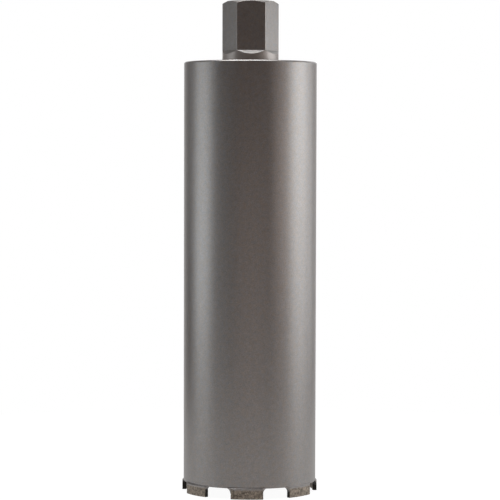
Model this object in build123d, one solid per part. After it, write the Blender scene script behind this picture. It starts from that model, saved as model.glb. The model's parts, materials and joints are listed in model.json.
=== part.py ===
from build123d import *
import os
from math import asin, cos, degrees, radians, sqrt, tan

# Segmented diamond core bit for wet drilling, in millimetres.
# It stands on its segments: the cutting plane is Z 0, the tool axis is Z, the drive hub is on top
# and the front is towards -Y. Seen from the hub it drills clockwise, so in front view the left
# end of a segment leads.

# Barrel
barrel_dia = 112.0  # outside of the tube
barrel_wall = 2.0
barrel_length = 354.0  # from the rim between the segments to the closed end
end_chamfer = 1.3  # 45 degree break round the closed end

# Segments
segment_count = 7
segment_height = 8.7
segment_length = 27.4  # along the outer face
outer_overhang = 1.15  # outside of the barrel, which clears the kerf
inner_overhang = 0.35  # inside of the barrel, which clears the core
segment_edge = 0.4  # broken edge along the outside of the cutting face
first_segment_turn = -3.5  # from the front to the middle of the first segment, in degrees

# Brazed joint between a segment and the rim
braze_film = 0.1
outer_braze_rise = 1.3  # how far the fillet climbs from the segment up the outside of the barrel
inner_braze_rise = 0.7
leading_braze = 3.4  # radius of the fillet in the corner at each end of a segment
trailing_braze = 2.4

# Back plate, let into the closed end of the barrel and welded flush
plate_thickness = 10.0
plate_clearance = 0.1  # radial, in the barrel
weld_groove_width = 2.0  # on the plate's face

# Drive hub for a 1 1/4 in - 7 threads per inch spindle
hub_height = 51.2  # above the plate
flat_count = 6
wrench_flats = 41.3  # 1 5/8 in across the flats
wrench_length = 41.7  # from the end face to the foot of a flat
runout_angle = 45.0  # slope at the foot of a flat
corner_trim = 0.1  # taken off the hexagon's corners by the round of the bar
end_bevel_height = 2.15
end_bevel_angle = 30.0
thread_dia = 31.8  # wall of the tapped hole at the roots of the thread
thread_depth = 40.0  # to the bottom of the relief
mouth_chamfer = 1.2
relief_width = 3.5
relief_depth = 0.5
drill_point = 118.0
water_dia = 20.0

# Spigot that the hub passes through the plate, welded from inside
spigot_dia = 34.0
spigot_clearance = 0.1  # radial, in the plate
spigot_stand = 5.0  # below the plate
hub_weld_leg = 4.0

# Radii
barrel_outer = barrel_dia / 2
barrel_inner = barrel_outer - barrel_wall
crown_outer = barrel_outer + outer_overhang
crown_inner = barrel_inner - inner_overhang
plate_outer = barrel_inner - plate_clearance
spigot_outer = spigot_dia / 2
plate_bore = spigot_outer + spigot_clearance
flat_radius = wrench_flats / 2
flat_pitch = 360 / flat_count
hub_outer = flat_radius / cos(radians(flat_pitch / 2)) - corner_trim
face_outer = hub_outer - end_bevel_height / tan(radians(end_bevel_angle))
thread_outer = thread_dia / 2
relief_outer = thread_outer + relief_depth
water_outer = water_dia / 2

# Heights, stacked up from the cutting plane
rim = segment_height + braze_film
closed_end = rim + barrel_length
plate_underside = closed_end - plate_thickness
weld_root = closed_end - end_chamfer - barrel_wall
hub_end = closed_end + hub_height
flat_foot = hub_end - wrench_length
thread_bottom = hub_end - thread_depth
spigot_end = plate_underside - spigot_stand

cutter_overrun = 1.0  # how far the milled waste reaches past the bar

# Angles, from +X
front = -90
segment_half_angle = degrees(segment_length / crown_outer) / 2
segment_pitch = 360 / segment_count


def polygon(points):
    """Face inside straight lines from point to point and back to the first."""
    return make_face(Polyline(*points, close=True))


def turned(points):
    """Ring turned about the tool axis from (radius, height) points."""
    return revolve(polygon([(radius, 0, height) for radius, height in points]), Axis.Z)


def barrel_tube():
    """Tube with its closed end bevelled through the wall for the weld."""
    return turned(
        [
            (barrel_inner, rim),
            (barrel_outer, rim),
            (barrel_outer, closed_end - end_chamfer),
            (barrel_inner, weld_root),
        ]
    )


def back_plate():
    """Disc with a bore for the hub's spigot and its half of the weld groove."""
    return turned(
        [
            (plate_bore, plate_underside),
            (plate_outer, plate_underside),
            (plate_outer, weld_root),
            (plate_outer - weld_groove_width, closed_end),
            (plate_bore, closed_end),
        ]
    )


def rim_weld():
    """Weld that fills the groove, dressed flush and chamfered with the edge of the barrel."""
    return turned(
        [
            (plate_outer, weld_root),
            (barrel_inner, weld_root),
            (barrel_outer, closed_end - end_chamfer),
            (barrel_outer - end_chamfer, closed_end),
            (plate_outer - weld_groove_width, closed_end),
        ]
    )


def wrench_flat_cutter():
    """Waste of one wrench flat on the +X side, with the slope that it runs out on."""
    past = hub_outer + cutter_overrun
    slope_end = flat_foot - (past - flat_radius) * tan(radians(runout_angle))
    above = hub_end + cutter_overrun
    waste = polygon(
        [
            (flat_radius, 0, flat_foot),
            (past, 0, slope_end),
            (past, 0, above),
            (flat_radius, 0, above),
        ]
    )
    return extrude(waste, amount=hub_outer, dir=(0, 1, 0), both=True)


def drive_hub():
    """Turned hub with a spigot, a tapped hole and water way, and six milled flats."""
    cone_drop = (relief_outer - water_outer) / tan(radians(drill_point / 2))
    hub = turned(
        [
            (water_outer, spigot_end),
            (spigot_outer, spigot_end),
            (spigot_outer, closed_end),
            (hub_outer, closed_end),
            (hub_outer, hub_end - end_bevel_height),
            (face_outer, hub_end),
            (thread_outer + mouth_chamfer, hub_end),
            (thread_outer, hub_end - mouth_chamfer),
            (thread_outer, thread_bottom + relief_width),
            (relief_outer, thread_bottom + relief_width - relief_depth),
            (relief_outer, thread_bottom),
            (water_outer, thread_bottom - cone_drop),
        ]
    )
    cutter = wrench_flat_cutter()
    for side in range(flat_count):
        hub -= cutter.rotate(Axis.Z, front + side * flat_pitch)
    return hub


def hub_weld():
    """Fillet weld inside the barrel, between the spigot and the underside of the plate."""
    return turned(
        [
            (spigot_outer, plate_underside),
            (spigot_outer + hub_weld_leg, plate_underside),
            (spigot_outer, plate_underside - hub_weld_leg),
        ]
    )


def arc_of_ring(section, start, end):
    """Section in the XZ plane turned about the tool axis from one angle to another."""
    return revolve(section.rotate(Axis.Z, start), Axis.Z, end - start)


def segment():
    """Diamond segment whose middle lies on +X: a curved block with radial ends."""
    section = polygon(
        [
            (crown_inner, 0, 0),
            (crown_outer - segment_edge, 0, 0),
            (crown_outer, 0, segment_edge),
            (crown_outer, 0, segment_height),
            (crown_inner, 0, segment_height),
        ]
    )
    return arc_of_ring(section, -segment_half_angle, segment_half_angle)


def braze_channel():
    """Section that clasps the rim, with a fillet on each side, and reaches below it."""
    low = rim - max(leading_braze, trailing_braze)
    return polygon(
        [
            (crown_inner, 0, low),
            (crown_outer, 0, low),
            (crown_outer, 0, segment_height),
            (barrel_outer, 0, segment_height + outer_braze_rise),
            (barrel_inner, 0, segment_height + inner_braze_rise),
            (crown_inner, 0, segment_height),
        ]
    )


def braze_end(radius):
    """Fillet in the corner between a segment's end, at angle 0, and the rim beyond it.

    From the front it is a hollow corner, and from above it tapers into the wall of the barrel.
    """
    ring = arc_of_ring(braze_channel(), 0, 2 * degrees(asin(radius / barrel_inner)))
    low = rim - radius
    high = rim + 2 * outer_braze_rise
    arc_middle = radius * (1 - sqrt(0.5))
    front_view = make_face(
        [
            Line((0, 0, high), (0, 0, low)),
            ThreePointArc((0, 0, low), (0, arc_middle, rim - arc_middle), (0, radius, rim)),
            Line((0, radius, rim), (0, radius, high)),
            Line((0, radius, high), (0, 0, high)),
        ]
    )
    plan = polygon(
        [
            (crown_inner, 0, low),
            (crown_outer, 0, low),
            (sqrt(barrel_outer**2 - radius**2), radius, low),
            (sqrt(barrel_inner**2 - radius**2), radius, low),
        ]
    )
    front_block = extrude(front_view, amount=barrel_dia, dir=(1, 0, 0))
    plan_block = extrude(plan, amount=high - low, dir=(0, 0, 1))
    return ring & front_block & plan_block


def braze(block, tube):
    """Braze of the segment on +X: film, side fillets and the two end fillets, in one piece."""
    clasp = arc_of_ring(braze_channel(), -segment_half_angle, segment_half_angle)
    trailing_end = braze_end(trailing_braze).rotate(Axis.Z, segment_half_angle)
    leading_end = mirror(braze_end(leading_braze), Plane.XZ).rotate(Axis.Z, -segment_half_angle)
    return (clasp - block - tube) + (trailing_end - tube) + (leading_end - tube)


def save(piece, name):
    export_step(piece, f"parts/{name}.step")


def main():
    os.makedirs("parts", exist_ok=True)
    tube = barrel_tube()
    save(tube, "barrel_tube")
    save(back_plate(), "back_plate")
    save(rim_weld(), "rim_weld")
    save(drive_hub(), "drive_hub")
    save(hub_weld(), "hub_weld")

    block = segment()
    joint = braze(block, tube)
    for number in range(segment_count):
        turn = front + first_segment_turn + number * segment_pitch
        save(block.rotate(Axis.Z, turn), f"segment_{number + 1}")
        save(joint.rotate(Axis.Z, turn), f"braze_{number + 1}")


main()
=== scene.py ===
import bpy
import json
import random
from math import atan2, cos, hypot, pi, radians, sin, sqrt, tan
from mathutils import Euler, Matrix, Vector


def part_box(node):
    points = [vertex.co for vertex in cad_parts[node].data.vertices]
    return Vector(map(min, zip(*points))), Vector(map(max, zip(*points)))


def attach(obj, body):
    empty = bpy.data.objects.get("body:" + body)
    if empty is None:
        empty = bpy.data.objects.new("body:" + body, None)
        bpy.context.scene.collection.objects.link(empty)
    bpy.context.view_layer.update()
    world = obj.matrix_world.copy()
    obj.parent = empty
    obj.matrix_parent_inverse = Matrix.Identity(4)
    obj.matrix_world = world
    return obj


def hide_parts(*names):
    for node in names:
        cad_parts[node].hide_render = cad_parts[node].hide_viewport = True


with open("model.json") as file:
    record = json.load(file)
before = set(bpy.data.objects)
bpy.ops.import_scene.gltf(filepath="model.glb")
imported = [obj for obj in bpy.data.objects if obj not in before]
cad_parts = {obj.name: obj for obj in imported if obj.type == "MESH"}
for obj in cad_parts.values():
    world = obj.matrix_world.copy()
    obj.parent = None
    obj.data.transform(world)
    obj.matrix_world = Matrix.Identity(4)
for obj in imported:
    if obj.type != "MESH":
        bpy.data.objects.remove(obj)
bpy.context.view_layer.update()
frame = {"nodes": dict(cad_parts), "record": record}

mm = 0.001

# Heights and radii of the core bit, read from its nodes

def nodePoints(node):
    return [v.co for v in frame["nodes"][node].data.vertices]


def radiusRange(node):
    radii = [p.xy.length for p in nodePoints(node)]
    return min(radii), max(radii)


def turnOf(point):
    return atan2(point.x, -point.y)  # from the front, growing towards +X


def turnFrom(turn, point):
    # How far a point lies from a turn, at most half a round either way
    return (turnOf(point) - turn + pi) % (2 * pi) - pi


def clamp(value, low, high):
    return min(high, max(low, value))


barrelInside, barrelOutside = radiusRange("barrel_tube")
rimHeight, chamferFoot = [corner.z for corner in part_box("barrel_tube")]
plateBottom, closedEnd = [corner.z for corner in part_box("back_plate")]
spigotEnd, hubTop = [corner.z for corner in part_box("drive_hub")]
crownInside, crownOutside = radiusRange("segment_1")
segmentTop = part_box("segment_1")[1].z
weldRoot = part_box("rim_weld")[0].z
threadMount = next(m for m in frame["record"]["mounts"] if m["name"] == "spindle_thread")
threadRadius = threadMount["dims"]["r_mm"] * mm
threadMiddle = threadMount["pos_m"][2]
threadLength = threadMount["dims"]["length_mm"] * mm
segmentNodes = sorted(name for name in frame["nodes"] if name.startswith("segment_"))
brazeNodes = sorted(name for name in frame["nodes"] if name.startswith("braze_"))


# Camera, fitted to the photo

photoCamera = {
    "distance": 1.8917,  # from the tool's axis
    "height": 0.2854,
    "aside": 1.4,  # degrees to the left of the wrench flat that faces the front
    "down": 2.46,
    "roll": 0.142,
    "lens": 160.83,  # mm, on a 36 mm sensor
}


def addCamera(setup):
    aside = radians(setup["aside"])
    data = bpy.data.cameras.new("photoCamera")
    data.lens = setup["lens"]
    data.sensor_width = 36
    data.clip_end = 20
    camera = bpy.data.objects.new("photoCamera", data)
    bpy.context.scene.collection.objects.link(camera)
    camera.location = (-setup["distance"] * sin(aside), -setup["distance"] * cos(aside), setup["height"])
    aim = Euler((radians(90 - setup["down"]), 0, -aside)).to_matrix()
    camera.rotation_euler = (aim @ Matrix.Rotation(radians(setup["roll"]), 3, "Z")).to_euler()
    bpy.context.scene.camera = camera


# Shader nodes

def addNode(tree, kind, x, y, **settings):
    node = tree.nodes.new("ShaderNode" + kind)
    node.location = (x, y)
    for name, value in settings.items():
        setattr(node, name, value)
    return node


def setInputs(node, **values):
    for name, value in values.items():
        node.inputs[name.replace("_", " ")].default_value = value


def linkAll(tree, *pairs):
    for source, target in pairs:
        tree.links.new(source, target)


def feed(tree, socket, value):
    # Links the output of a node, or sets a plain value
    if isinstance(value, bpy.types.NodeSocket):
        tree.links.new(value, socket)
    elif value is not None:
        socket.default_value = value


def mathNode(tree, operation, first, second, x, y, third=None):
    node = addNode(tree, "Math", x, y, operation=operation)
    for socket, value in zip(node.inputs, (first, second, third)):
        feed(tree, socket, value)
    return node.outputs[0]


def rampNode(tree, value, low, high, x, y, toLow=0.0, toHigh=1.0, smooth=False):
    node = addNode(tree, "MapRange", x, y)
    if smooth:
        node.interpolation_type = "SMOOTHSTEP"
    setInputs(node, From_Min=low, From_Max=high, To_Min=toLow, To_Max=toHigh)
    tree.links.new(value, node.inputs["Value"])
    return node.outputs["Result"]


def noiseNode(tree, vector, scale, x, y, detail=2.0, roughness=0.5):
    node = addNode(tree, "TexNoise", x, y)
    setInputs(node, Detail=detail, Roughness=roughness)
    feed(tree, node.inputs["Vector"], vector)
    feed(tree, node.inputs["Scale"], scale)
    return node.outputs["Fac"]


def mixNode(tree, kind, factor, first, second, x, y):
    node = addNode(tree, "Mix", x, y, data_type=kind)
    for name, value in (("Factor", factor), ("A", first), ("B", second)):
        feed(tree, next(s for s in node.inputs if s.name == name and s.enabled), value)
    return next(s for s in node.outputs if s.enabled)


def mixColours(tree, factor, first, second, x, y):
    return mixNode(tree, "RGBA", factor, first, second, x, y)


def mixValues(tree, factor, first, second, x, y):
    return mixNode(tree, "FLOAT", factor, first, second, x, y)


def objectPlace(tree, x, y):
    return addNode(tree, "TexCoord", x, y).outputs["Object"]


def heightOf(tree, place, x, y):
    split = addNode(tree, "SeparateXYZ", x, y)
    tree.links.new(place, split.inputs[0])
    return split.outputs["Z"]


def radiusOf(tree, place, x, y):
    flat = addNode(tree, "VectorMath", x, y, operation="MULTIPLY")
    flat.inputs[1].default_value = (1, 1, 0)
    length = addNode(tree, "VectorMath", x + 200, y, operation="LENGTH")
    linkAll(tree, (place, flat.inputs[0]), (flat.outputs[0], length.inputs[0]))
    return length.outputs["Value"]


def attributeNode(tree, name, x, y):
    return addNode(tree, "Attribute", x, y, attribute_name=name).outputs["Fac"]


def bumpNode(tree, height, distance, x, y):
    bump = addNode(tree, "Bump", x, y)
    setInputs(bump, Strength=1, Distance=distance)
    tree.links.new(height, bump.inputs["Height"])
    return bump.outputs["Normal"]


def newMaterial(name):
    material = bpy.data.materials.new(name)
    material.use_nodes = True
    tree = material.node_tree
    return material, tree, tree.nodes["Principled BSDF"]


def newGroup(name, inputs, outputs):
    tree = bpy.data.node_groups.new(name, "ShaderNodeTree")
    for label, kind, value in inputs:
        socket = tree.interface.new_socket(label, in_out="INPUT", socket_type="NodeSocket" + kind)
        socket.default_value = value
    for label, kind in outputs:
        tree.interface.new_socket(label, in_out="OUTPUT", socket_type="NodeSocket" + kind)
    entry = tree.nodes.new("NodeGroupInput")
    entry.location = (-1200, 0)
    leave = tree.nodes.new("NodeGroupOutput")
    leave.location = (900, 0)
    return tree, entry.outputs, leave.inputs


def placeGroup(tree, group, x, y, **values):
    node = addNode(tree, "Group", x, y, node_tree=group)
    setInputs(node, **values)
    return node.outputs


# Node groups that several finishes share

def paintGrainGroup():
    # Fine flakes and slow clouds in a sprayed metallic paint
    tree, given, out = newGroup(
        "paintGrain",
        [
            ("Colour", "Color", (0.5, 0.5, 0.5, 1)),
            ("Flake Size", "Float", 0.001),
            ("Cloud Size", "Float", 0.005),
            ("Contrast", "Float", 0.1),
            ("Warmth", "Float", 0.1),
        ],
        [("Colour", "Color"), ("Mottle", "Float"), ("Height", "Float")],
    )
    place = objectPlace(tree, -1200, 300)
    flakeScale = mathNode(tree, "DIVIDE", 1, given["Flake Size"], -950, 250)
    cloudScale = mathNode(tree, "DIVIDE", 1, given["Cloud Size"], -950, 50)
    flakes = noiseNode(tree, place, flakeScale, -700, 300, 3, 0.65)
    clouds = noiseNode(tree, place, cloudScale, -700, 100)
    hueScale = mathNode(tree, "MULTIPLY", cloudScale, 1.7, -950, -150)  # smaller than the clouds
    hue = noiseNode(tree, place, hueScale, -700, -150)
    mottle = mixValues(tree, 0.2, flakes, clouds, -450, 200)  # mostly flakes
    centred = mathNode(tree, "SUBTRACT", mottle, 0.5, -250, 200)
    gain = mathNode(tree, "MULTIPLY_ADD", centred, given["Contrast"], -50, 200, third=1)
    hue = mathNode(tree, "SUBTRACT", hue, 0.5, -450, -150)
    warm = mathNode(tree, "MULTIPLY", hue, given["Warmth"], -250, -150)
    tint = addNode(tree, "CombineXYZ", 50, -150)
    linkAll(
        tree,
        (mathNode(tree, "ADD", gain, warm, 0, 0), tint.inputs[0]),
        (gain, tint.inputs[1]),
        (mathNode(tree, "SUBTRACT", gain, warm, 0, -350), tint.inputs[2]),
    )
    toned = addNode(tree, "VectorMath", 400, 100, operation="MULTIPLY")
    linkAll(
        tree,
        (given["Colour"], toned.inputs[0]),
        (tint.outputs[0], toned.inputs[1]),
        (toned.outputs[0], out["Colour"]),
        (mottle, out["Mottle"]),
        (flakes, out["Height"]),
    )
    return tree


def turningMarksGroup():
    # Fine rings round the axis, as a lathe leaves them: by height on a bore, by radius on a face
    tree, given, out = newGroup(
        "turningMarks",
        [("Spacing", "Float", 0.0004), ("By Radius", "Float", 0.0)],
        [("Mark", "Float"), ("Height", "Float")],
    )
    place = objectPlace(tree, -1200, 300)
    height, radius = heightOf(tree, place, -1000, 100), radiusOf(tree, place, -1000, 300)
    along = mixValues(tree, given["By Radius"], height, radius, -600, 200)
    step = mathNode(tree, "DIVIDE", along, given["Spacing"], -400, 200)
    rings = addNode(tree, "TexNoise", -200, 200, noise_dimensions="1D")
    setInputs(rings, Scale=1, Detail=3, Roughness=0.7)
    linkAll(
        tree,
        (step, rings.inputs["W"]),
        (rings.outputs["Fac"], out["Mark"]),
        (rings.outputs["Fac"], out["Height"]),
    )
    return tree


def oversprayGroup():
    # 0 where the paint covers, 1 where it never reached: in a hollow, fading over a depth from its mouth
    tree, given, out = newGroup(
        "overspray",
        [
            ("Bore Radius", "Float", 0.02),
            ("Mouth Height", "Float", 0.0),
            ("Top Height", "Float", 1.0),
            ("Reach", "Float", 0.05),
        ],
        [("Bare", "Float")],
    )
    place = objectPlace(tree, -1200, 300)
    height, radius = heightOf(tree, place, -1000, 100), radiusOf(tree, place, -1000, 300)
    within = mathNode(tree, "LESS_THAN", radius, given["Bore Radius"], -600, 400)
    below = mathNode(tree, "LESS_THAN", height, given["Top Height"], -600, 250)
    inside = mathNode(tree, "MULTIPLY", within, below, -400, 350)
    depth = mathNode(tree, "SUBTRACT", height, given["Mouth Height"], -600, 100)
    depth = mathNode(tree, "ABSOLUTE", depth, None, -450, 100)
    share = mathNode(tree, "DIVIDE", depth, given["Reach"], -300, 100)
    patches = noiseNode(tree, place, 300, -600, -150, 4, 0.6)
    ragged = mathNode(tree, "MULTIPLY_ADD", patches, 0.8, -300, -150, third=-0.4)  # either side of 0
    share = mathNode(tree, "ADD", share, ragged, -100, 100)
    fade = rampNode(tree, share, 0.25, 1.0, 100, 100, smooth=True)
    linkAll(tree, (mathNode(tree, "MULTIPLY", inside, fade, 400, 200), out["Bare"]))
    return tree


# Finishes

paintLook = {
    "colour": (0.27, 0.25, 0.237, 1),
    "flake": 0.75 * mm,  # size of the finest mottle
    "cloud": 4 * mm,  # size of the slow change of tone
    "contrast": 1.1,
    "warmth": 0.22,
    "metal": 0.75,
    "barMetal": 0.5,  # on the round bar of the hub, dulled in metal to brighten it, together with the painted light below
    # painted light: the round bar is coloured lighter for the light that the plate throws up onto it
    "barLitColour": (0.365, 0.327, 0.305, 1),
    "roughness": 0.38,
    "satin": 0.04,  # how far the roughness wavers with the mottle
    "peel": 0.015 * mm,  # height of the fine grain
}
plateLook = {"contrast": 0.35, "metal": 0.15}  # thicker and duller where the plate faces up
steelLook = {
    "colour": (0.30, 0.28, 0.26, 1),
    "groove": (0.18, 0.168, 0.156, 1),  # at the bottom of a turning mark
    "wornAndHighlight": (0.36, 0.33, 0.31, 1),  # edges rubbed bright by the wrench, with a painted highlight along them
    "wornHighlightPatches": 350,  # noise scale
    "wornHighlightRange": (0.35, 0.6),  # of that noise, from paint to bright steel
    "roughness": 0.38,
    "marks": 0.35 * mm,
    "depth": 0.01 * mm,
}
# Hollows that the spray didn't reach: radius, height of the mouth, where they end at the top, and
# how far from the mouth the paint thins out
barrelHollow = {
    "radius": barrelInside + 0.5 * mm,
    "mouth": rimHeight,
    "top": plateBottom + mm,
    "reach": 60 * mm,
}
hubHollow = {"radius": threadRadius + 0.7 * mm, "mouth": hubTop, "top": hubTop + mm, "reach": 8 * mm}


def placePaint(tree, groups, look, x, y):
    return placeGroup(
        tree, groups["grain"], x, y,
        Colour=look["colour"], Flake_Size=look["flake"], Cloud_Size=look["cloud"],
        Contrast=look["contrast"], Warmth=look["warmth"],
    )


def paintedSteel(name, groups, look, steel, hollows):
    material, tree, shader = newMaterial(name)
    place = objectPlace(tree, -1100, 900)
    paint = placePaint(tree, groups, look, -900, 200)
    marks = placeGroup(tree, groups["marks"], -900, -150, Spacing=steel["marks"])
    bare = 0
    for row, hollow in enumerate(hollows):
        spray = placeGroup(
            tree, groups["spray"], -1200, -400 - 200 * row, Bore_Radius=hollow["radius"],
            Mouth_Height=hollow["mouth"], Top_Height=hollow["top"], Reach=hollow["reach"],
        )
        bare = mathNode(tree, "MAXIMUM", bare, spray["Bare"], -900, -400 - 200 * row)
    ringed = mixColours(tree, marks["Mark"], steel["groove"], steel["colour"], -600, -150)
    # The hub's round bar is coloured lighter, up to the foot of the flats: painted light thrown up from the
    # plate
    height = heightOf(tree, place, -900, 1100)
    bar = mathNode(tree, "LESS_THAN", height, hubTop - hub["flatLength"], -700, 1100)
    bar = mathNode(tree, "MULTIPLY", attributeNode(tree, "roundBar", -900, 900), bar, -500, 1000)
    litCoat = mixColours(tree, bar, paint["Colour"], look["barLitColour"], -600, 300)
    colour = mixColours(tree, bare, litCoat, ringed, -350, 200)
    # Worn paint and painted highlight: the softened hub edges are lightened in patches
    rubbed = noiseNode(tree, place, steel["wornHighlightPatches"], -900, 700)
    rubbed = rampNode(tree, rubbed, *steel["wornHighlightRange"], -700, 700)
    wornAndHighlight = mathNode(tree, "MULTIPLY", attributeNode(tree, "wornAndHighlight", -900, 500), rubbed, -500, 600)
    colour = mixColours(tree, wornAndHighlight, colour, steel["wornAndHighlight"], -150, 300)
    # Noise stays mostly between 0.3 and 0.7
    smoothest, roughest = look["roughness"] - look["satin"], look["roughness"] + look["satin"]
    satin = rampNode(tree, paint["Mottle"], 0.3, 0.7, -600, 0, smoothest, roughest)
    metal = mixValues(tree, bar, look["metal"], look["barMetal"], -600, 100)
    grain = mathNode(tree, "MULTIPLY", paint["Height"], look["peel"] / mm, -600, -350)
    rings = mathNode(tree, "MULTIPLY", marks["Height"], steel["depth"] / mm, -600, -550)
    relief = mixValues(tree, bare, grain, rings, -350, -450)
    linkAll(
        tree,
        (colour, shader.inputs["Base Color"]),
        (mixValues(tree, bare, metal, 1.0, -350, -50), shader.inputs["Metallic"]),
        (mixValues(tree, bare, satin, steel["roughness"], -350, -250), shader.inputs["Roughness"]),
        (bumpNode(tree, relief, mm, -150, -450), shader.inputs["Normal"]),
    )
    return material


brazeShadeLook = {
    # Painted shade on the braze: near black under the rim and on faces turned down or along it
    "colour": (0.012, 0.009, 0.007, 1),
    "below": 3.0 * mm,  # under the rim, where the paint gives way to painted shade
    "blend": 0.6 * mm,
    "wander": 0.8 * mm,  # how far that line goes up and down
    "wanderScale": 900,  # noise scale
    "creaseShade": (0.11, 0.095, 0.09, 1),  # painted shade in the crease along the top of the braze
    "creaseShadeHeight": 0.85 * mm,  # above the rim
    "creaseShadeRange": (0.1 * mm, 0.5 * mm),  # from that height, full and gone
    "creaseShadeShare": 0.8,
}


def shadedBraze(name, groups, look, steel, brazeShade):
    material = paintedSteel(name, groups, look, steel, [barrelHollow])
    tree = material.node_tree
    shader = tree.nodes["Principled BSDF"]
    # Painted shade: under the rim, and where the braze turns down or along the rim, the paint gives way to
    # near black
    place = objectPlace(tree, -900, 700)
    height = heightOf(tree, place, -700, 800)
    uneven = noiseNode(tree, place, brazeShade["wanderScale"], -700, 600)
    uneven = mathNode(tree, "MULTIPLY", uneven, brazeShade["wander"], -500, 600)
    uneven = mathNode(tree, "ADD", height, uneven, -300, 700)
    line = rimHeight - brazeShade["below"] + brazeShade["wander"] / 2
    unshaded = rampNode(tree, uneven, line - brazeShade["blend"], line + brazeShade["blend"], -100, 700, smooth=True)
    outside = mathNode(tree, "SUBTRACT", 1, attributeNode(tree, "shadedUnderside", -300, 400), -100, 400)
    unshaded = mathNode(tree, "MULTIPLY", unshaded, outside, 50, 600)
    # Painted shade along the crease where the braze meets the barrel
    off = mathNode(tree, "SUBTRACT", height, rimHeight + brazeShade["creaseShadeHeight"], -500, 1000)
    off = mathNode(tree, "ABSOLUTE", off, None, -300, 1000)
    creaseShaded = rampNode(tree, off, *brazeShade["creaseShadeRange"], -100, 1000, brazeShade["creaseShadeShare"], 0)
    paint = shader.inputs["Base Color"].links[0].from_socket
    paint = mixColours(tree, creaseShaded, paint, brazeShade["creaseShade"], 0, 900)
    metal = shader.inputs["Metallic"].links[0].from_socket
    linkAll(
        tree,
        (mixColours(tree, unshaded, brazeShade["colour"], paint, 100, 500), shader.inputs["Base Color"]),
        (mathNode(tree, "MULTIPLY", unshaded, metal, 100, 300), shader.inputs["Metallic"]),
    )
    return material


matrixLook = {
    "dark": (0.070, 0.056, 0.042, 1),
    "light": (0.42, 0.35, 0.28, 1),
    "grain": 0.55 * mm,
    "patchGrains": 4,  # size of a coarser patch, in grains
    "patches": 0.5,  # share of the coarser patches in the tone
    "toneRange": (0.37, 0.63),  # of the noise, from dark to light
    # painted shade: near-black colour for the ends of a segment
    "shadedEnds": (0.014, 0.011, 0.008, 1),
    "roughness": 0.55,
    "metal": 0.55,
    "relief": 0.10 * mm,
    "paintBlend": 0.6 * mm,  # at the paint's lower edge
    "paintWander": 2.5 * mm,  # how far that edge goes up and down
    "wanderGrains": 2.5,
}


def sinteredMatrix(name, groups, look, paint):
    material, tree, shader = newMaterial(name)
    place = objectPlace(tree, -1300, 0)
    grains = noiseNode(tree, place, 1 / look["grain"], -1100, 200, 4, 0.7)
    patches = noiseNode(tree, place, 1 / (look["patchGrains"] * look["grain"]), -1100, 0)
    tone = mixValues(tree, look["patches"], grains, patches, -900, 100)
    tone = rampNode(tree, tone, *look["toneRange"], -700, 100)
    bare = mixColours(tree, tone, look["dark"], look["light"], -500, 100)
    # Painted shade: the ends of the segment are darkened nearly to black and keep no paint band
    ends = attributeNode(tree, "shadedEnds", -900, 500)
    bare = mixColours(tree, ends, bare, look["shadedEnds"], -300, 200)
    painted = placePaint(tree, groups, paint, -700, 500)
    ragged = noiseNode(tree, place, 1 / (look["wanderGrains"] * look["grain"]), -1100, -300, 3, 0.6)
    ragged = mathNode(tree, "SUBTRACT", ragged, 0.5, -900, -300)
    ragged = mathNode(tree, "MULTIPLY", ragged, look["paintWander"], -700, -300)
    ragged = mathNode(tree, "ADD", heightOf(tree, place, -1100, -500), ragged, -500, -400)
    line, blend = segmentTop - segmentShape["smoothTop"], look["paintBlend"]
    band = rampNode(tree, ragged, line - blend, line + blend, -300, -400, smooth=True)
    band = mathNode(tree, "MULTIPLY", band, mathNode(tree, "SUBTRACT", 1, ends, -300, -600), -100, -500)
    rough = mixValues(tree, band, look["roughness"], paint["roughness"], 0, -200)
    relief = mixValues(tree, band, grains, 0.5, -200, -700)  # none under the paint
    linkAll(
        tree,
        (mixColours(tree, band, bare, painted["Colour"], 0, 200), shader.inputs["Base Color"]),
        (mixValues(tree, band, look["metal"], paint["metal"], 0, 0), shader.inputs["Metallic"]),
        (rough, shader.inputs["Roughness"]),
        (bumpNode(tree, relief, look["relief"], 0, -700), shader.inputs["Normal"]),
    )
    return material


gritLook = {
    "pale": (0.62, 0.55, 0.33, 1),
    "deep": (0.30, 0.26, 0.12, 1),
    "spread": 1.2 * mm,
    "shadeRange": (0.35, 0.65),  # of the noise, from deep to pale
    "roughness": (0.15, 0.35),
    "refraction": 2.2,
}


def diamondGrit(name, look):
    material, tree, shader = newMaterial(name)
    shade = noiseNode(tree, objectPlace(tree, -900, 0), 1 / look["spread"], -700, 0)
    shade = rampNode(tree, shade, *look["shadeRange"], -500, 0)
    linkAll(
        tree,
        (mixColours(tree, shade, look["deep"], look["pale"], -250, 0), shader.inputs["Base Color"]),
        (rampNode(tree, shade, 0, 1, -250, -250, *look["roughness"]), shader.inputs["Roughness"]),
    )
    setInputs(shader, IOR=look["refraction"])
    return material


# Modelling helpers

def makeActive(piece):
    bpy.ops.object.select_all(action="DESELECT")
    piece.select_set(True)
    bpy.context.view_layer.objects.active = piece


def settleNew(name, scale=(1, 1, 1)):
    # Names the primitive that was just added, and puts its place and size into its mesh
    piece = bpy.context.object
    piece.name = name
    piece.scale = scale
    makeActive(piece)
    bpy.ops.object.transform_apply(location=True, rotation=True, scale=True)
    return piece


def pick(piece, kind, test):
    # Opens edit mode with only the faces, edges or vertices selected that pass the test
    makeActive(piece)
    bpy.ops.object.mode_set(mode="EDIT")
    bpy.ops.mesh.select_mode(type=kind)
    bpy.ops.mesh.select_all(action="DESELECT")
    bpy.ops.object.mode_set(mode="OBJECT")
    mesh = piece.data
    items = {"FACE": mesh.polygons, "EDGE": mesh.edges, "VERT": mesh.vertices}[kind]
    for item in items:
        item.select = test(item)
    bpy.ops.object.mode_set(mode="EDIT")


def pickSharp(piece, angle):
    pick(piece, "EDGE", lambda edge: False)
    bpy.ops.mesh.edges_select_sharp(sharpness=radians(angle))


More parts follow.
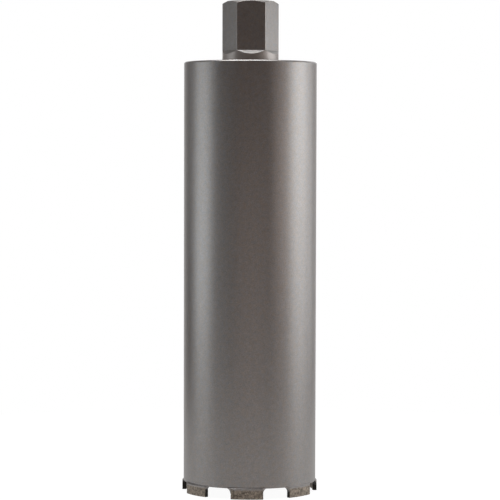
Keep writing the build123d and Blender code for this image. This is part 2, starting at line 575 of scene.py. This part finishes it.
def editAll(piece):
    makeActive(piece)
    bpy.ops.object.mode_set(mode="EDIT")
    bpy.ops.mesh.select_all(action="SELECT")


def leaveEdit():
    bpy.ops.object.mode_set(mode="OBJECT")


def edgeEnds(piece, edge):
    return [piece.data.vertices[index].co for index in edge.vertices]


def onCircle(piece, radius, height):
    # Test for an edge that lies on a circle round the axis
    near = 0.02 * mm

    def test(edge):
        ends = edgeEnds(piece, edge)
        return all(abs(p.xy.length - radius) < near and abs(p.z - height) < near for p in ends)
    return test


def finishMesh(piece, smoothAngle=35):
    editAll(piece)
    bpy.ops.mesh.remove_doubles(threshold=0.002 * mm)
    bpy.ops.mesh.normals_make_consistent(inside=False)
    leaveEdit()
    bpy.ops.object.shade_smooth_by_angle(angle=radians(smoothAngle))


def applyModifier(piece, kind, **settings):
    makeActive(piece)
    modifier = piece.modifiers.new(kind.lower(), kind)
    for name, value in settings.items():
        setattr(modifier, name, value)
    bpy.ops.object.modifier_apply(modifier=modifier.name)


def turnedPiece(name, stations, sides):
    # A ring drawn station by station, as on a lathe: (radius, height), closed back to the first
    radius, height = stations[0]
    bpy.ops.object.select_all(action="DESELECT")
    bpy.ops.mesh.primitive_circle_add(vertices=sides, radius=radius, location=(0, 0, height))
    piece = settleNew(name)
    bpy.ops.object.mode_set(mode="EDIT")
    bpy.ops.mesh.select_mode(type="EDGE")
    bpy.ops.mesh.select_all(action="SELECT")
    for (r0, z0), (r1, z1) in zip(stations, stations[1:] + stations[:1]):
        bpy.ops.mesh.extrude_region_move(TRANSFORM_OT_translate={"value": (0, 0, z1 - z0)})
        bpy.ops.transform.resize(value=(r1 / r0, r1 / r0, 1), center_override=(0, 0, z1))
    leaveEdit()
    finishMesh(piece)
    return piece


def spunBlock(name, low, high, inside, outside, start, end, steps):
    # Block of a ring between two turns
    bpy.ops.object.select_all(action="DESELECT")
    bpy.ops.mesh.primitive_plane_add(
        size=1, location=(0, -(inside + outside) / 2, (low + high) / 2), rotation=(pi / 2, 0, pi / 2)
    )
    piece = settleNew(name, (outside - inside, high - low, 1))
    piece.data.transform(Matrix.Rotation(start, 4, "Z"))
    editAll(piece)
    bpy.ops.mesh.spin(steps=steps, angle=start - end, center=(0, 0, 0), axis=(0, 0, 1))
    leaveEdit()
    finishMesh(piece)
    return piece


def copyTurned(piece, name, turn):
    # A copy with its own mesh, turned about the tool's axis
    double = piece.copy()
    double.data = piece.data.copy()
    double.name = name
    bpy.context.scene.collection.objects.link(double)
    double.data.transform(Matrix.Rotation(turn, 4, "Z"))
    return double


def dress(piece, material, slot, *nodes):
    piece.data.materials.clear()
    piece.data.materials.append(material)
    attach(piece, "root")
    if nodes:
        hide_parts(*nodes)


# Barrel and the weld round its closed end

barrel = {
    "sides": 192,
    "rimSoftening": 0.25 * mm,
    "weldInside": 2.0 * mm,  # how far the weld reaches in over the plate
    "weldRound": 0.38,  # profile of its dressed edge, where 0.5 is a true round
}


def makeBarrel(spec, material):
    piece = turnedPiece(
        "barrel",
        [
            (barrelInside, rimHeight),
            (barrelOutside, rimHeight),
            (barrelOutside, chamferFoot),
            (barrelInside, weldRoot),
        ],
        spec["sides"],
    )
    for radius in (barrelOutside, barrelInside):
        pick(piece, "EDGE", onCircle(piece, radius, rimHeight))
        bpy.ops.mesh.bevel(offset=spec["rimSoftening"], segments=3, affect="EDGES")
        leaveEdit()
    finishMesh(piece)
    dress(piece, material, "barrel_paint", "barrel_tube")


def makeEndWeld(spec, material):
    plateRadius = radiusRange("back_plate")[1]
    piece = turnedPiece(
        "endWeld",
        [
            (plateRadius, weldRoot),
            (barrelInside, weldRoot),
            (barrelOutside, chamferFoot),
            (barrelOutside, closedEnd),
            (plateRadius - spec["weldInside"], closedEnd),
        ],
        spec["sides"],
    )
    pick(piece, "EDGE", onCircle(piece, barrelOutside, closedEnd))
    bpy.ops.mesh.bevel(
        offset=closedEnd - chamferFoot, segments=8, profile=spec["weldRound"], affect="EDGES"
    )
    leaveEdit()
    finishMesh(piece)
    dress(piece, material, "barrel_paint", "rim_weld")


# Drive hub

hub = {
    "sides": 192,
    "collar": 23.745 * mm,  # radius of the round bar
    "acrossFlats": 41.3 * mm,
    "flatLength": 41.7 * mm,
    "faceRadius": 20.02 * mm,
    "bevelHeight": 2.15 * mm,
    "spigot": 17.0 * mm,  # radius
    "waterWay": 10.0 * mm,  # radius
    "mouth": 1.2 * mm,  # chamfer at the mouth of the thread
    "relief": (16.4 * mm, 3.5 * mm, 0.5 * mm),  # radius, height and step at the bottom of the thread
    "threadDepth": 40.0 * mm,
    "drillPoint": 118,  # degrees
    "sharp": 25,  # degrees from which an edge is softened
    "softEdge": 0.15 * mm,
}


def makeFlatCutter(spec):
    # Block that takes off one flat, with the 45 degree slope of its foot
    deep = 10 * mm  # well past the bar
    foot = hubTop - spec["flatLength"]
    tall = spec["flatLength"] + mm
    bpy.ops.object.select_all(action="DESELECT")
    bpy.ops.mesh.primitive_cube_add(
        size=1, location=(0, -(spec["acrossFlats"] + deep) / 2, foot + tall / 2)
    )
    cutter = settleNew("flatCutter", (2 * spec["collar"], deep, tall))
    far = spec["acrossFlats"] / 2 + deep / 2
    pick(cutter, "VERT", lambda v: v.co.y < -far and v.co.z < foot + mm)
    bpy.ops.transform.translate(value=(0, 0, -deep))
    leaveEdit()
    return cutter


def softenHub(piece, spec):
    # Every sharp edge above the plate; the new faces carry a mask for the worn paint and the painted edge
    # highlight
    pickSharp(piece, spec["sharp"])
    leaveEdit()
    mesh = piece.data
    for edge in mesh.edges:
        foot = min(end.z for end in edgeEnds(piece, edge))
        edge.select = edge.select and foot > closedEnd + 0.5 * mm
    mesh.materials.append(None)
    mesh.materials.append(None)  # a second slot, which the bevel gives to its own faces
    makeActive(piece)
    bpy.ops.object.mode_set(mode="EDIT")
    bpy.ops.mesh.bevel(offset=spec["softEdge"], segments=3, affect="EDGES", material=1)
    leaveEdit()
    mesh.attributes.new("wornAndHighlight", "FLOAT", "FACE")
    mesh.attributes.new("roundBar", "FLOAT", "FACE")
    wornAndHighlight, bar = mesh.attributes["wornAndHighlight"], mesh.attributes["roundBar"]
    for face in mesh.polygons:
        wornAndHighlight.data[face.index].value = face.material_index
        bar.data[face.index].value = abs(face.center.xy.length - spec["collar"]) < 0.05 * mm
        face.material_index = 0


def makeHub(spec, material):
    # Turned blank, six milled flats, then softened edges
    reliefRadius, reliefHeight, reliefStep = spec["relief"]
    floor = hubTop - spec["threadDepth"]
    cone = (reliefRadius - spec["waterWay"]) / tan(radians(spec["drillPoint"] / 2))
    piece = turnedPiece(
        "hub",
        [
            (spec["waterWay"], spigotEnd),
            (spec["spigot"], spigotEnd),
            (spec["spigot"], closedEnd),
            (spec["collar"], closedEnd),
            (spec["collar"], hubTop - spec["bevelHeight"]),
            (spec["faceRadius"], hubTop),
            (threadRadius + spec["mouth"], hubTop),
            (threadRadius, hubTop - spec["mouth"]),
            (threadRadius, floor + reliefHeight),
            (reliefRadius, floor + reliefHeight - reliefStep),
            (reliefRadius, floor),
            (spec["waterWay"], floor - cone),
        ],
        spec["sides"],
    )
    piece.data.transform(Matrix.Rotation(pi / spec["sides"], 4, "Z"))  # one facet in each corner
    cutter = makeFlatCutter(spec)
    for side in range(6):
        applyModifier(piece, "BOOLEAN", operation="DIFFERENCE", object=cutter, solver="EXACT")
        cutter.data.transform(Matrix.Rotation(radians(60), 4, "Z"))
    bpy.data.objects.remove(cutter)
    finishMesh(piece, smoothAngle=spec["sharp"])
    softenHub(piece, spec)
    finishMesh(piece, smoothAngle=14)
    applyModifier(piece, "WEIGHTED_NORMAL", keep_sharp=True, weight=100)
    dress(piece, material, "hub_paint", "drive_hub")


# Spindle thread inside the hub

threadShape = {
    "pitch": 25.4 / 7 * mm,
    "crestRadius": 14.0 * mm,
    "crestWidth": 0.9 * mm,
    "rootWidth": 3.1 * mm,
    "sink": 0.05 * mm,  # how deep the ridge is let into the wall
    "stepsPerTurn": 96,
}


def makeThread(spec, material):
    # One trapezoid section, wound up the bore by a screw modifier and trimmed at both ends
    low = threadMiddle - threadLength / 2
    high = threadMiddle + threadLength / 2
    outer = threadRadius + spec["sink"]
    deep = outer - spec["crestRadius"]
    bpy.ops.object.select_all(action="DESELECT")
    bpy.ops.mesh.primitive_plane_add(
        size=1, location=(spec["crestRadius"] + deep / 2, 0, low - spec["pitch"] / 2), rotation=(pi / 2, 0, 0)
    )
    piece = settleNew("hubThread", (deep, spec["rootWidth"], 1))
    pick(piece, "VERT", lambda v: v.co.x < spec["crestRadius"] + deep / 2)
    bpy.ops.transform.resize(value=(1, 1, spec["crestWidth"] / spec["rootWidth"]))
    bpy.ops.mesh.select_all(action="SELECT")
    bpy.ops.mesh.delete(type="ONLY_FACE")
    leaveEdit()
    turns = int(threadLength / spec["pitch"]) + 2
    applyModifier(
        piece, "SCREW", axis="Z", angle=2 * pi, screw_offset=spec["pitch"], iterations=turns,
        steps=spec["stepsPerTurn"], render_steps=spec["stepsPerTurn"], use_merge_vertices=False,
    )
    for height, above in ((low, False), (high, True)):
        editAll(piece)
        bpy.ops.mesh.bisect(
            plane_co=(0, 0, height), plane_no=(0, 0, 1), use_fill=True,
            clear_outer=above, clear_inner=not above,
        )
        bpy.ops.mesh.select_all(action="SELECT")
        bpy.ops.mesh.delete_loose()
        leaveEdit()
    finishMesh(piece, smoothAngle=30)
    dress(piece, material, "hub_paint")


# Diamond segments

segmentShape = {
    "steps": 60,  # along the arc
    "edge": 0.15 * mm,  # how far the edges are broken
    "voxel": 0.2 * mm,
    "grainSize": 0.6 * mm,
    "grainDepth": 0.28 * mm,
    "pitSize": 2.4 * mm,
    "pitDepth": 0.18 * mm,
    "smoothTop": 1.2 * mm,  # how far the paint reaches down from the top
    "smoothBlend": 0.6 * mm,
    "smoothGrain": 0.12,  # share of the grain that is left under the paint
    "shadedEndReach": 0.35 * mm,
}


def makeBlankSegment(spec, halfTurn):
    # Its middle is at the front
    piece = spunBlock(
        "segmentBlank", 0, segmentTop, crownInside, crownOutside, -halfTurn, halfTurn, spec["steps"]
    )
    pickSharp(piece, 60)
    bpy.ops.mesh.bevel(offset=spec["edge"], segments=2, affect="EDGES")
    leaveEdit()
    applyModifier(piece, "REMESH", mode="VOXEL", voxel_size=spec["voxel"], use_smooth_shade=True)
    return piece


def weighGrain(piece, spec, turn, halfTurn):
    # Grain only on the bare matrix, and a mask for the painted shade on the ends
    grain = piece.vertex_groups.new(name="grain")
    edge = segmentTop - spec["smoothTop"]
    for vertex in piece.data.vertices:
        share = (edge - vertex.co.z) / spec["smoothBlend"] + 0.5
        grain.add([vertex.index], clamp(share, spec["smoothGrain"], 1), "REPLACE")
    shadedEnds = piece.data.attributes.new("shadedEnds", "FLOAT", "POINT")
    for vertex in piece.data.vertices:
        fromEnd = (halfTurn - abs(turnFrom(turn, vertex.co))) * crownOutside
        shadedEnds.data[vertex.index].value = clamp(1.5 - fromEnd / spec["shadedEndReach"], 0, 1)


def trimToBlock(piece, turn, halfTurn):
    # Grinds what stands proud back to the faces of the segment, which leaves the pits
    for vertex in piece.data.vertices:
        radius = clamp(vertex.co.xy.length, crownInside, crownOutside)
        angle = turn + clamp(turnFrom(turn, vertex.co), -halfTurn, halfTurn)
        vertex.co = (radius * sin(angle), -radius * cos(angle), clamp(vertex.co.z, 0, segmentTop))


def reliefTexture(name, size):
    texture = bpy.data.textures.new(name, "CLOUDS")
    texture.noise_scale = size
    return texture


gritShape = {
    "crystal": 0.30 * mm,  # radius
    "spread": (0.6, 1.25),  # of the radius
    "corner": 0.45,  # how far the corners are cut off, as a share of the edge
    "perFace": 2.6,  # square millimetres of face for each crystal
    "clear": 0.5 * mm,  # of the edges of a face
    "belowPaint": 0.3 * mm,
}


def makeCrystal(spec):
    # Cube with its corners cut off, as a blocky diamond
    bpy.ops.object.select_all(action="DESELECT")
    bpy.ops.mesh.primitive_cube_add(size=2)
    crystal = settleNew("crystal")
    editAll(crystal)
    bpy.ops.mesh.bevel(offset=2 * spec["corner"], affect="VERTICES")
    bpy.ops.transform.resize(value=(0.62, 0.62, 0.62))  # its points then lie inside radius 1
    leaveEdit()
    return crystal


def gritPlaces(spec, turn, halfTurn, chance):
    # Points on the faces of a segment, as (radius, turn, height, direction)
    length = 2 * halfTurn * crownOutside
    bareTop = segmentTop - segmentShape["smoothTop"] - spec["belowPaint"]
    clear = spec["clear"]
    thick = crownOutside - crownInside
    density = 1 / (spec["perFace"] * mm * mm)
    reach = halfTurn - clear / crownOutside
    places = []
    for radius, out in ((crownOutside, 1), (crownInside, -1)):
        for _ in range(int(length * bareTop * density)):
            angle = turn + chance.uniform(-reach, reach)
            places.append((radius, angle, chance.uniform(clear, bareTop), Vector((0, -out, 0))))
    for _ in range(int(length * thick * density)):
        angle = turn + chance.uniform(-reach, reach)
        radius = chance.uniform(crownInside + clear, crownOutside - clear)
        places.append((radius, angle, 0, Vector((0, 0, -1))))
    for side in (-1, 1):
        for _ in range(int(thick * bareTop * density)):
            radius = chance.uniform(crownInside + clear, crownOutside - clear)
            height = chance.uniform(clear, bareTop)
            places.append((radius, turn + side * halfTurn, height, Vector((side, 0, 0))))
    return places


def makeGrit(spec, crystal, number, turn, halfTurn, material):
    # Copies of one crystal, strewn over a segment and joined
    chance = random.Random(number)
    copies = []
    for radius, angle, height, out in gritPlaces(spec, turn, halfTurn, chance):
        size = spec["crystal"] * chance.uniform(*spec["spread"])
        spin = Matrix.Rotation(angle, 4, "Z")
        base = spin @ (Vector((0, -radius, height)) - out * size)
        roll = Euler([chance.uniform(0, pi) for _ in range(3)]).to_matrix().to_4x4()
        copy = bpy.data.objects.new(f"crystal{number}", crystal.data.copy())
        copy.data.transform(Matrix.Translation(base) @ roll @ Matrix.Scale(size, 4))
        bpy.context.scene.collection.objects.link(copy)
        copies.append(copy)
    bpy.ops.object.select_all(action="DESELECT")
    for copy in copies:
        copy.select_set(True)
    piece = copies[0]
    bpy.context.view_layer.objects.active = piece
    bpy.ops.object.join()
    piece.name = f"grit{number}"
    dress(piece, material, "diamond_matrix")


def segmentTurns():
    # Half length of a segment and the turn of each, read from the nodes
    span = [turnOf(p) for p in nodePoints(segmentNodes[0])]
    middles = [sum((p.normalized() for p in nodePoints(node)), Vector()) for node in segmentNodes]
    return (max(span) - min(span)) / 2, [turnOf(middle) for middle in middles]


def makeSegments(spec, grit, matrix, crystals):
    halfTurn, turns = segmentTurns()
    blank = makeBlankSegment(spec, halfTurn)
    grains = reliefTexture("grains", spec["grainSize"])
    pits = reliefTexture("pits", spec["pitSize"])
    crystal = makeCrystal(grit)
    for number, (node, turn) in enumerate(zip(segmentNodes, turns), 1):
        piece = copyTurned(blank, f"segment{number}", turn)
        weighGrain(piece, spec, turn, halfTurn)
        for texture, depth in ((pits, spec["pitDepth"]), (grains, spec["grainDepth"])):
            applyModifier(
                piece, "DISPLACE", texture=texture, texture_coords="GLOBAL", mid_level=0.5,
                strength=-depth, vertex_group="grain",
            )
        trimToBlock(piece, turn, halfTurn)
        dress(piece, matrix, "diamond_matrix", node)
        makeGrit(grit, crystal, number, turn, halfTurn, crystals)
    bpy.data.objects.remove(blank)
    bpy.data.objects.remove(crystal)


# Brazes

brazeShape = {
    "outerRise": 1.3 * mm,  # how far the hollow climbs the outside of the barrel
    "innerRise": 0.7 * mm,
    # At each end: reach along the rim, drop down the segment, and radius of the hollow over its chord
    "leading": (3.4 * mm, 4.2 * mm, 1.0),
    "trailing": (2.4 * mm, 2.5 * mm, 3.0),
    "steps": 72,
    "voxel": 0.17 * mm,
    "smoothing": 3,
    "lumps": 1.6 * mm,
    "lumpDepth": 0.14 * mm,
    "seat": 0.25 * mm,  # how deep it is let into the barrel and the segment
    "undersideShadeRange": (0.5, 0.75),  # how squarely a face below the rim looks outwards: full painted shade, and none
}


def hollowRadius(step, rise):
    # Radius of the round that leaves a wall at a tangent and meets an edge a step off it
    return (step * step + rise * rise) / (2 * step)


def cutWith(piece, cutter):
    applyModifier(piece, "BOOLEAN", operation="DIFFERENCE", object=cutter, solver="EXACT")
    bpy.data.objects.remove(cutter)


def ringCutter(radius, height, round):
    # Ring of round section, for the hollow along a wall
    bpy.ops.object.select_all(action="DESELECT")
    bpy.ops.mesh.primitive_torus_add(
        major_segments=barrel["sides"], minor_segments=48,
        major_radius=radius, minor_radius=round, location=(0, 0, height),
    )
    return settleNew("ringCutter")


def rodCutter(turn, radius, height, round, upright):
    # Rod for the hollow at an end, either upright or pointing at the axis
    bpy.ops.object.select_all(action="DESELECT")
    bpy.ops.mesh.primitive_cylinder_add(
        vertices=72, radius=round, depth=20 * mm, location=(0, -radius, height),
        rotation=(0 if upright else pi / 2, 0, 0),
    )
    cutter = settleNew("rodCutter")
    cutter.data.transform(Matrix.Rotation(turn, 4, "Z"))
    return cutter


def squareRing(name, inside, outside, low, high):
    stations = [(inside, low), (outside, low), (outside, high), (inside, high)]
    return turnedPiece(name, stations, barrel["sides"])


def trimToCrown(piece):
    for vertex in piece.data.vertices:
        radius = vertex.co.xy.length
        if radius > crownOutside:
            vertex.co.xy *= crownOutside / radius


def makeBlankBraze(spec, halfTurn):
    # Clasp round the rim with hollow sides and ends; its middle is at the front
    ends = ((-1, *spec["leading"]), (1, *spec["trailing"]))
    spare = 0.06 * mm  # keeps the faces of block and cutters apart
    start, end = [side * (halfTurn + (reach - spare) / barrelOutside) for side, reach, drop, fullness in ends]
    low = rimHeight - max(drop for side, reach, drop, fullness in ends) + spare
    outerTop, innerTop = segmentTop + spec["outerRise"], segmentTop + spec["innerRise"]
    piece = spunBlock(
        "brazeBlank", low, outerTop, crownInside, crownOutside, start, end, spec["steps"]
    )
    outer = hollowRadius(crownOutside - barrelOutside, spec["outerRise"])
    inner = hollowRadius(barrelInside - crownInside, spec["innerRise"])
    cutWith(piece, ringCutter(barrelOutside + outer, outerTop, outer))
    cutWith(piece, ringCutter(barrelInside - inner, innerTop, inner))
    # The straight cutters reach past the block by some millimetres
    lid = squareRing("aboveInside", crownInside - mm, barrelInside, innerTop, segmentTop + 3 * mm)
    cutWith(piece, lid)
    for side, reach, drop, fullness in ends:
        tip = side * (halfTurn + reach / barrelOutside)
        chord = hypot(reach, drop)
        round = fullness * chord
        off = sqrt(round * round - chord * chord / 4) / chord
        along, down = reach / 2 + drop * off, drop / 2 + reach * off
        turn = side * (halfTurn + along / barrelOutside)
        cutWith(piece, rodCutter(turn, barrelOutside, rimHeight - down, round, False))
        outer = hollowRadius(crownOutside - barrelOutside, reach)
        cutWith(piece, rodCutter(tip, barrelOutside + outer, rimHeight, outer, True))
        inner = hollowRadius(barrelInside - crownInside, reach)
        cutWith(piece, rodCutter(tip, barrelInside - inner, rimHeight, inner, True))
    applyModifier(piece, "REMESH", mode="VOXEL", voxel_size=spec["voxel"], use_smooth_shade=True)
    applyModifier(piece, "SMOOTH", factor=0.5, iterations=spec["smoothing"])
    applyModifier(
        piece, "DISPLACE", texture=reliefTexture("lumps", spec["lumps"]), texture_coords="GLOBAL",
        mid_level=0.5, strength=spec["lumpDepth"],
    )
    trimToCrown(piece)
    seat = spec["seat"]
    slotTop = rimHeight + 5 * mm
    cutWith(piece, squareRing("wallSlot", barrelInside + seat, barrelOutside - seat, rimHeight, slotTop))
    inset = halfTurn - seat / crownOutside
    block = spunBlock(
        "segmentSeat", -mm, segmentTop - seat, crownInside - mm, crownOutside + mm, -inset, inset,
        segmentShape["steps"],
    )
    cutWith(piece, block)
    finishMesh(piece, smoothAngle=50)
    return piece


def markShadedUnderside(piece, spec):
    # 1 where the braze faces down or along the rim below it, where painted shade goes
    none, full = spec["undersideShadeRange"]
    shares = []
    for vertex in piece.data.vertices:
        out = Vector((*vertex.co.xy.normalized(), 0))
        shaded = clamp((full - abs(vertex.normal.dot(out))) / (full - none), 0, 1)
        shares.append(shaded if vertex.co.z < rimHeight else 0)
    shadedUnderside = piece.data.attributes.new("shadedUnderside", "FLOAT", "POINT")
    shadedUnderside.data.foreach_set("value", shares)


def makeBrazes(spec, material):
    halfTurn, turns = segmentTurns()
    blank = makeBlankBraze(spec, halfTurn)
    markShadedUnderside(blank, spec)
    for number, (node, turn) in enumerate(zip(brazeNodes, turns), 1):
        piece = copyTurned(blank, f"brazeFillet{number}", turn)
        dress(piece, material, "braze_paint", node)
    bpy.data.objects.remove(blank)


# Studio: floor, backdrop colour and lamps

studio = {
    "floorRadius": 0.6,
    "floorColour": 0.8,
    "floorGlow": 0.85,  # share of the floor that shines white where it is seen
    "glowStrength": (0.8, 1.12),  # in reflections, and to the camera
    "backdrop": (0.74, 0.96),  # how squarely a reflection looks back: white begins, and is full
    "dark": (0.062, 0.043, 0.037),  # what the metal sees in front, where the studio is unlit
    "lampsAway": 0.9,  # from the tool's axis
    "lampsOver": 1.1,  # from the closed end
}
coolWhite = (0.96, 1.0, 1.03)
coldWhite = (0.92, 1.0, 1.05)
warmWhite = (1.10, 0.98, 0.93)
# Lamps stand round the tool: degrees from the front, to the right, and their height in metres
lamps = {
    "rightLow": {"turn": 90, "low": 0.02, "high": 0.25, "width": 0.6, "bright": 2.5, "tint": coolWhite},
    "rightBox": {"turn": 90, "low": 0.25, "high": 0.5, "width": 0.65, "bright": 3.4, "tint": coolWhite},
    "rightTop": {"turn": 95, "low": 0.5, "high": 0.95, "width": 0.7, "bright": 2.05, "tint": coolWhite},
    "rightRim": {"turn": 122, "low": 0.02, "high": 0.46, "width": 0.3, "bright": 1.7, "tint": coolWhite},
    "rightBack": {"turn": 145, "low": 0.5, "high": 1.2, "width": 0.45, "bright": 1.0, "tint": coolWhite},
    "rightWing": {"turn": 55, "low": 0.1, "high": 0.42, "width": 0.5, "bright": 0.9, "tint": warmWhite},
    "leftLow": {"turn": -90, "low": 0.04, "high": 0.25, "width": 0.6, "bright": 2.3, "tint": coldWhite},
    "leftBox": {"turn": -88, "low": 0.25, "high": 0.5, "width": 0.6, "bright": 1.85, "tint": coldWhite},
    "leftRim": {"turn": -122, "low": 0.15, "high": 0.6, "width": 0.3, "bright": 0.24, "tint": coldWhite},
    "leftWing": {"turn": -48, "low": 0.02, "high": 0.4, "width": 0.6, "bright": 0.28, "tint": coldWhite},
    "frontLow": {"turn": 0, "low": 0.02, "high": 0.3, "width": 0.9, "bright": 0.45, "tint": warmWhite},
}
# Square lamps hang over it: degrees from the front and over the horizon, and size in metres
lampsAbove = {
    "topBox": {"turn": 0, "rise": 90, "size": 0.6, "bright": 4, "tint": coolWhite},
    "topBack": {"turn": 180, "rise": 75, "size": 0.5, "bright": 4.8, "tint": coolWhite},
    "topLeft": {"turn": -90, "rise": 72, "size": 0.5, "bright": 7, "tint": coolWhite},
    "topRight": {"turn": 90, "rise": 72, "size": 0.4, "bright": 4, "tint": coolWhite},
}


def addLamp(name, spec, width, height, location, tilt):
    data = bpy.data.lights.new(name, "AREA")
    data.shape = "RECTANGLE"
    data.size = width
    data.size_y = height
    data.energy = spec["bright"] * width * height * pi  # bright 1 looks white
    data.color = spec["tint"]
    lamp = bpy.data.objects.new(name, data)
    lamp.location = location
    lamp.rotation_euler = (tilt, 0, radians(spec["turn"]))
    lamp.visible_camera = False
    bpy.context.scene.collection.objects.link(lamp)


def lightStudio(setup):
    for name, spec in lamps.items():
        turn = radians(spec["turn"])
        middle = (spec["low"] + spec["high"]) / 2
        place = Vector((setup["lampsAway"] * sin(turn), -setup["lampsAway"] * cos(turn), middle))
        addLamp(name, spec, spec["width"], spec["high"] - spec["low"], place, pi / 2)
    for name, spec in lampsAbove.items():
        turn, rise = radians(spec["turn"]), radians(spec["rise"])
        out = Vector((sin(turn) * cos(rise), -cos(turn) * cos(rise), sin(rise)))
        place = Vector((0, 0, closedEnd)) + setup["lampsOver"] * out
        addLamp(name, spec, spec["size"], spec["size"], place, pi / 2 - rise)


def studioWorld(setup):
    world = bpy.data.worlds.new("studio")
    bpy.context.scene.world = world
    world.use_nodes = True
    tree = world.node_tree
    path = addNode(tree, "LightPath", -900, 300).outputs
    way = addNode(tree, "SeparateXYZ", -900, 0)
    linkAll(tree, (addNode(tree, "TexCoord", -1100, 0).outputs["Generated"], way.inputs[0]))
    behind = rampNode(tree, way.outputs["Y"], *setup["backdrop"], -700, 0, smooth=True)
    shine = mathNode(tree, "MAXIMUM", path["Is Glossy Ray"], path["Is Transmission Ray"], -700, 300)
    shown = mathNode(tree, "MULTIPLY", shine, behind, -500, 200)
    white = mathNode(tree, "MAXIMUM", path["Is Camera Ray"], shown, -300, 200)
    colour = mixColours(tree, white, (*setup["dark"], 1), (1, 1, 1, 1), -100, 100)
    linkAll(tree, (colour, tree.nodes["Background"].inputs["Color"]))


def floorMaterial(setup):
    material, tree, shader = newMaterial("paleFloor")
    grey = setup["floorColour"]
    setInputs(shader, Base_Color=(grey, grey, grey, 1), Roughness=0.9)
    glow = addNode(tree, "Emission", 0, -300)
    path = addNode(tree, "LightPath", -600, 300).outputs
    shine = mathNode(tree, "MAXIMUM", path["Is Glossy Ray"], path["Is Transmission Ray"], -400, 300)
    seen = mathNode(tree, "MAXIMUM", path["Is Camera Ray"], shine, -200, 300)
    mix = addNode(tree, "MixShader", 200, 0)
    below = addNode(tree, "NewGeometry", 200, 400).outputs["Backfacing"]
    clear = addNode(tree, "BsdfTransparent", 200, -300)  # the floor can't be seen from below
    sides = addNode(tree, "MixShader", 400, 0)
    linkAll(
        tree,
        (mathNode(tree, "MULTIPLY", seen, setup["floorGlow"], 0, 300), mix.inputs[0]),
        (
            rampNode(tree, path["Is Camera Ray"], 0, 1, 0, -500, *setup["glowStrength"]),
            glow.inputs["Strength"],
        ),
        (shader.outputs[0], mix.inputs[1]),
        (glow.outputs[0], mix.inputs[2]),
        (below, sides.inputs[0]),
        (mix.outputs[0], sides.inputs[1]),
        (clear.outputs[0], sides.inputs[2]),
        (sides.outputs[0], tree.nodes["Material Output"].inputs["Surface"]),
    )
    return material


def addFloor(setup):
    bpy.ops.object.select_all(action="DESELECT")
    bpy.ops.mesh.primitive_circle_add(
        vertices=96, radius=setup["floorRadius"], fill_type="NGON", location=(0, 0, -0.02 * mm)
    )
    floor = bpy.context.object
    floor.name = "floor"
    floor.data.materials.append(floorMaterial(setup))


# The scene

bpy.context.scene.view_settings.view_transform = "Standard"
addCamera(photoCamera)
addFloor(studio)
lightStudio(studio)
studioWorld(studio)
print("camera, floor and lamps stand")

groups = {"grain": paintGrainGroup(), "marks": turningMarksGroup(), "spray": oversprayGroup()}
barrelPaint = paintedSteel("barrelPaint", groups, paintLook, steelLook, [barrelHollow])
platePaint = paintedSteel("platePaint", groups, {**paintLook, **plateLook}, steelLook, [barrelHollow])
hubPaint = paintedSteel("hubPaint", groups, paintLook, steelLook, [barrelHollow, hubHollow])
brazePaint = shadedBraze("brazePaint", groups, paintLook, steelLook, brazeShadeLook)
matrix = sinteredMatrix("sinteredMatrix", groups, matrixLook, paintLook)
crystals = diamondGrit("diamondGrit", gritLook)
print("finishes mixed")

for name, node in frame["nodes"].items():
    node.data.materials.clear()
    node.data.materials.append(hubPaint if "hub" in name else platePaint)
makeBarrel(barrel, barrelPaint)
makeEndWeld(barrel, barrelPaint)
print("barrel turned")
makeHub(hub, hubPaint)
makeThread(threadShape, hubPaint)
print("hub milled and threaded")
makeSegments(segmentShape, gritShape, matrix, crystals)
print("segments sintered")
makeBrazes(brazeShape, brazePaint)
print("brazes laid")
